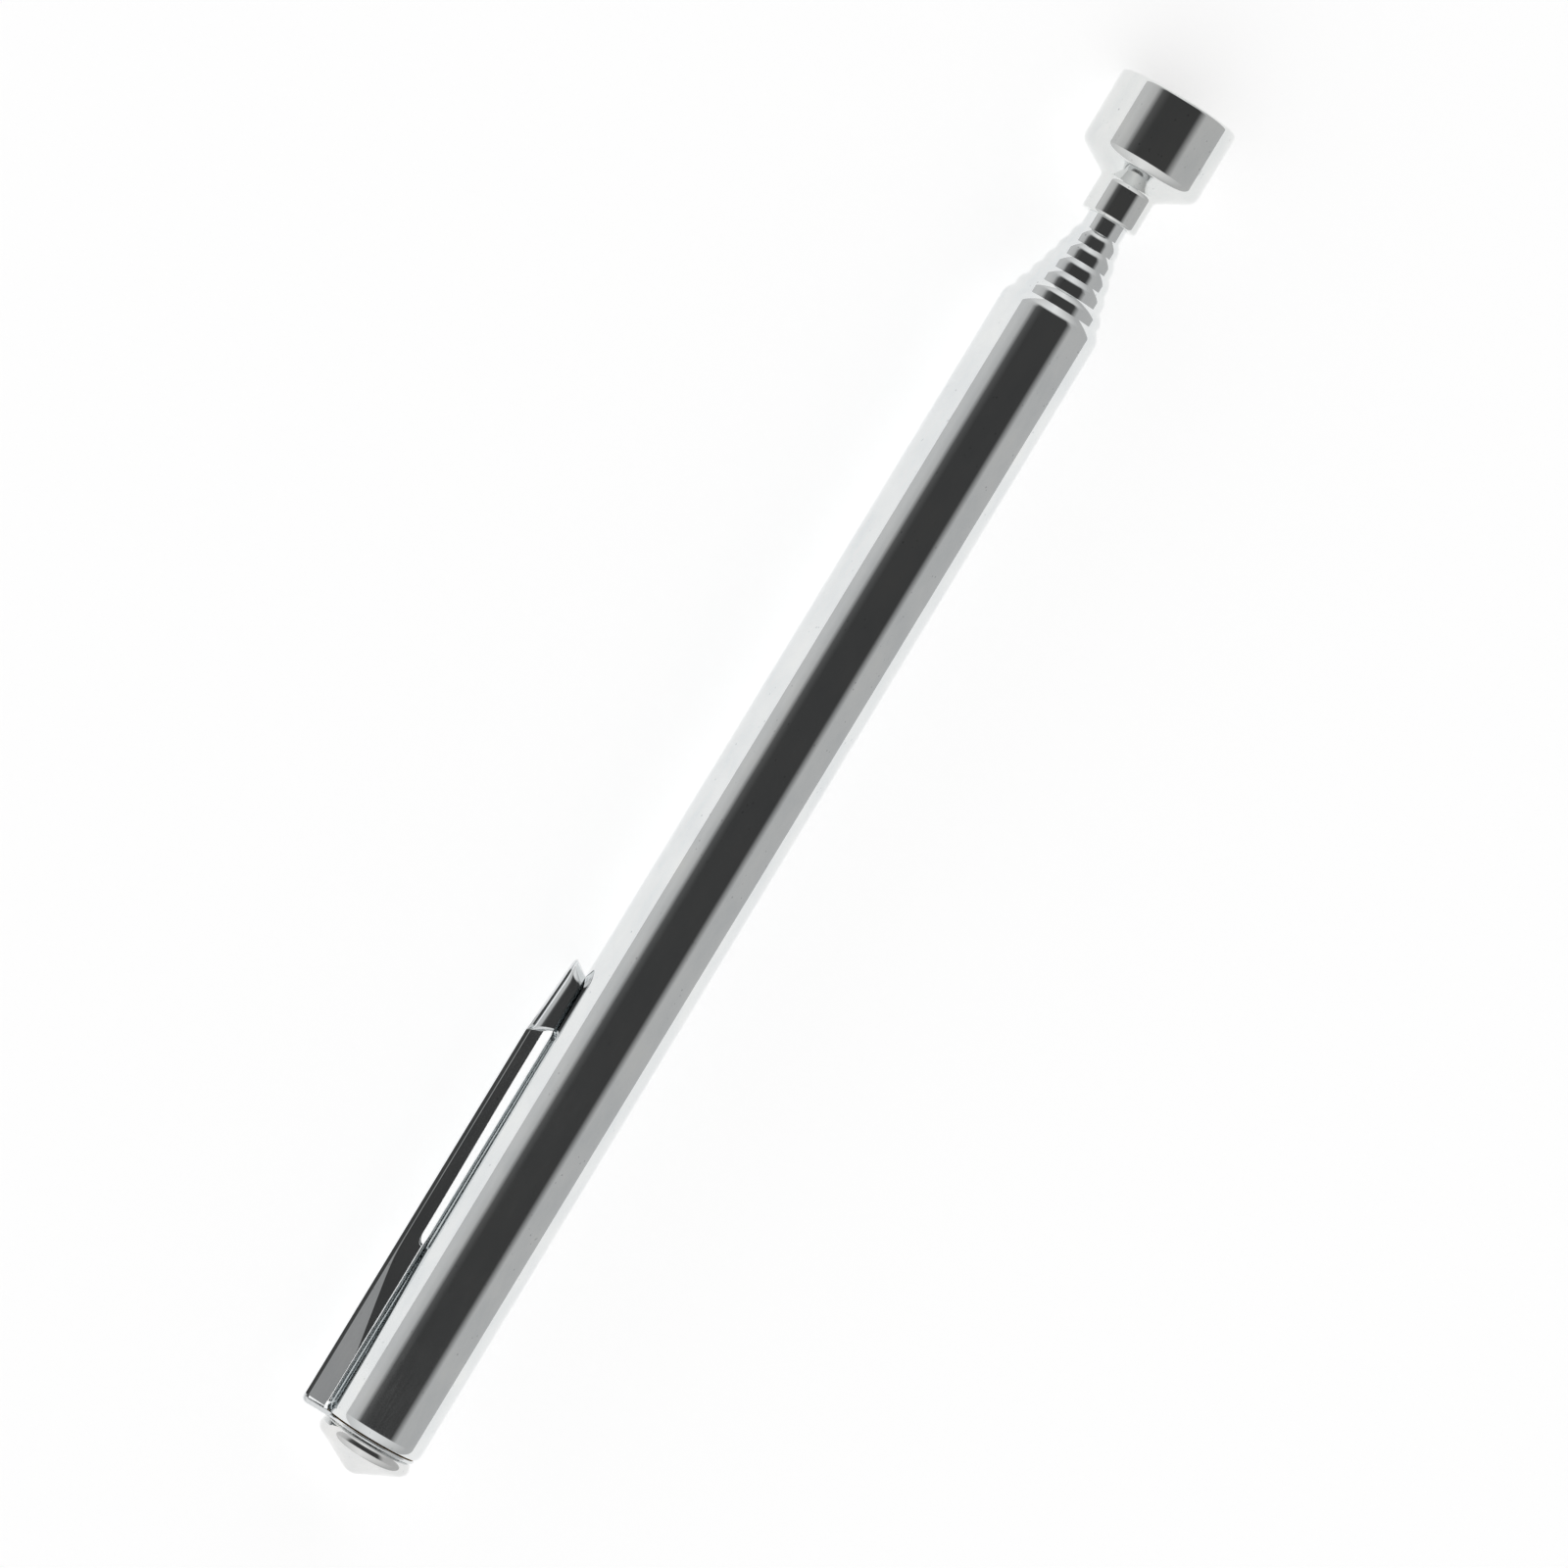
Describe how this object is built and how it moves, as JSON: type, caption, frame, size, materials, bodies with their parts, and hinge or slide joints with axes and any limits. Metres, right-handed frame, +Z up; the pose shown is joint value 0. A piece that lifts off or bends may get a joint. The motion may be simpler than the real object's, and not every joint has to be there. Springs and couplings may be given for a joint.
{
  "type": "magnetic pickup tool",
  "caption": "Pen-type telescoping magnetic pickup tool: chromed barrel with pocket clip, nested sliding sections and a round magnet in a flared cup.",
  "frame": {"origin": "middle of the closed tool's footprint, on the surface that it lies on", "axes": "+X along the tool toward the magnet, +Z up, the pocket clip on the +Y side and 17 degrees below the horizontal"},
  "size_m": [0.1324, 0.0122, 0.0109],
  "materials": {
    "chrome_barrel": "bright chrome plate with fine handling marks",
    "chrome_sections": "bright chrome plate, faint lengthwise sliding marks",
    "chrome_head": "bright chrome plate over turned steel",
    "chrome_clip": "bright plated spring sheet",
    "chrome_cap": "bright chrome plate",
    "magnet_face": "nickel-plated sintered magnet, fine ground face",
    "adhesive": "matt cured adhesive",
    "brass": "turned brass",
    "spring_bronze": "rolled phosphor bronze strip"
  },
  "bodies": {
    "barrel": {"barrel_tube": "chrome_barrel", "base_plug": "brass", "end_cap": "chrome_cap", "clip_ring": "chrome_clip"},
    "clip_arm": {"pocket_clip": "chrome_clip"},
    "slide_1": {"section_1": "chrome_sections", "stop_collar_1": "brass", "friction_spring_1": "spring_bronze"},
    "slide_2": {"section_2": "chrome_sections", "stop_collar_2": "brass", "friction_spring_2": "spring_bronze"},
    "slide_3": {"section_3": "chrome_sections", "stop_collar_3": "brass", "friction_spring_3": "spring_bronze"},
    "slide_4": {"section_4": "chrome_sections", "stop_collar_4": "brass", "friction_spring_4": "spring_bronze"},
    "slide_5": {"section_5": "chrome_sections", "stop_collar_5": "brass", "friction_spring_5": "spring_bronze"},
    "slide_6": {"friction_spring_6": "spring_bronze"},
    "head": {"section_6": "chrome_sections", "stop_collar_6": "brass", "magnet_cup": "chrome_head", "magnet": "magnet_face", "magnet_bond": "adhesive"}
  },
  "joints": [
    {"name": "clip_flex", "type": "hinge", "parent": "barrel", "child": "clip_arm", "pos_m": [-0.06258, 0.00556, 0.00356], "axis": [0, 0.2924, 0.9563], "range_deg": [0, 3], "stiffness_Nm_per_rad": 2.5, "springref_deg": -0.57},
    {"name": "extend_1", "type": "slide", "parent": "barrel", "child": "slide_1", "axis": [1, 0, 0], "range_m": [0, 0.0829]},
    {"name": "extend_2", "type": "slide", "parent": "slide_1", "child": "slide_2", "axis": [1, 0, 0], "range_m": [0, 0.0843]},
    {"name": "extend_3", "type": "slide", "parent": "slide_2", "child": "slide_3", "axis": [1, 0, 0], "range_m": [0, 0.0857]},
    {"name": "extend_4", "type": "slide", "parent": "slide_3", "child": "slide_4", "axis": [1, 0, 0], "range_m": [0, 0.0872]},
    {"name": "extend_5", "type": "slide", "parent": "slide_4", "child": "slide_5", "axis": [1, 0, 0], "range_m": [0, 0.0886]},
    {"name": "extend_6", "type": "slide", "parent": "slide_5", "child": "slide_6", "axis": [1, 0, 0], "range_m": [0, 0.09]},
    {"name": "head_spin", "type": "hinge", "parent": "slide_6", "child": "head", "pos_m": [0.03742, -0.00064, 0.00545], "axis": [1, 0, 0], "continuous": true}
  ]
}
